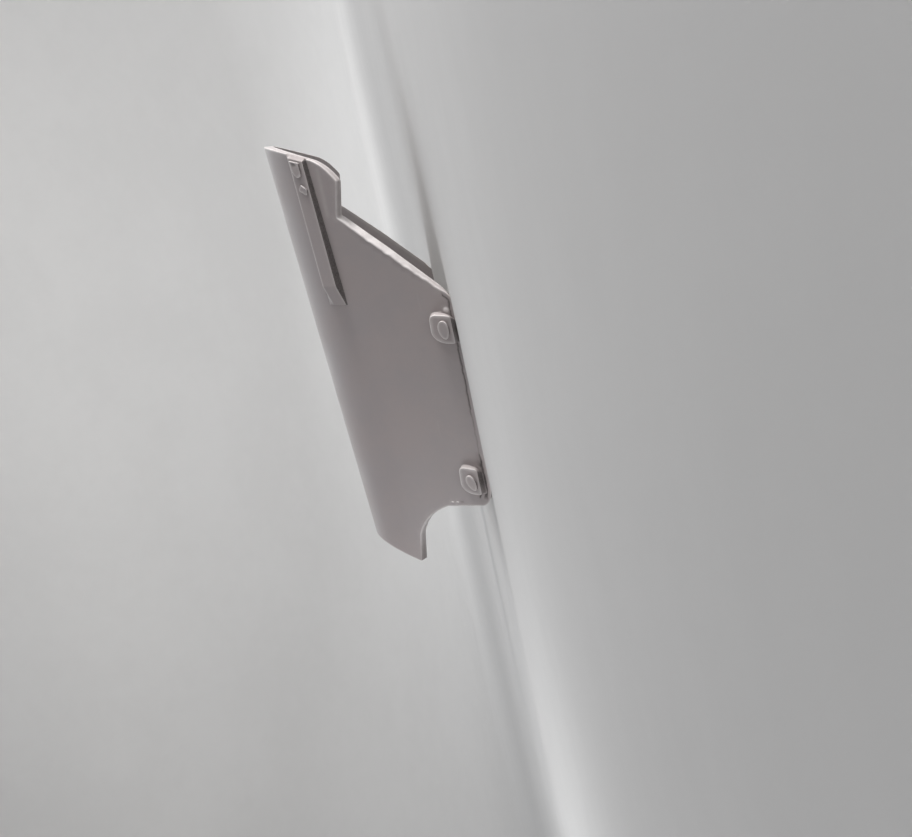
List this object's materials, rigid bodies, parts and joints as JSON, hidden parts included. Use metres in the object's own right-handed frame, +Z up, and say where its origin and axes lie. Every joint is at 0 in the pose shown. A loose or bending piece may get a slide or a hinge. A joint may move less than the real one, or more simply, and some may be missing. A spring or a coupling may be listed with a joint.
{
  "type": "thigh armour plate",
  "caption": "Rigid moulded thigh armour plate for the left leg, U-shaped in section, with a raised side rail and pads with oval studs for rear straps.",
  "frame": {"origin": "on the floor, below the middle of the plate's box, with the plate lying hollow side down on its two rear edges", "axes": "+X towards the hip end, +Z up to the front ridge, -Y to the outer side of the left leg, where the rail is"},
  "size_m": [0.3352, 0.1914, 0.1096],
  "materials": {
    "shell": "satin moulded plastic, warm light grey",
    "fittings": "satin moulded plastic, warm light grey, a little smoother"
  },
  "bodies": {
    "root": {"thigh_plate": "shell", "front_rail": "shell", "rail_boss": "fittings", "rail_stud": "fittings", "strap_pad_upper": "shell", "strap_stud_upper": "fittings", "inner_pad_upper": "shell", "strap_pad_lower": "shell", "strap_stud_lower": "fittings", "inner_pad_lower": "shell"}
  },
  "joints": []
}
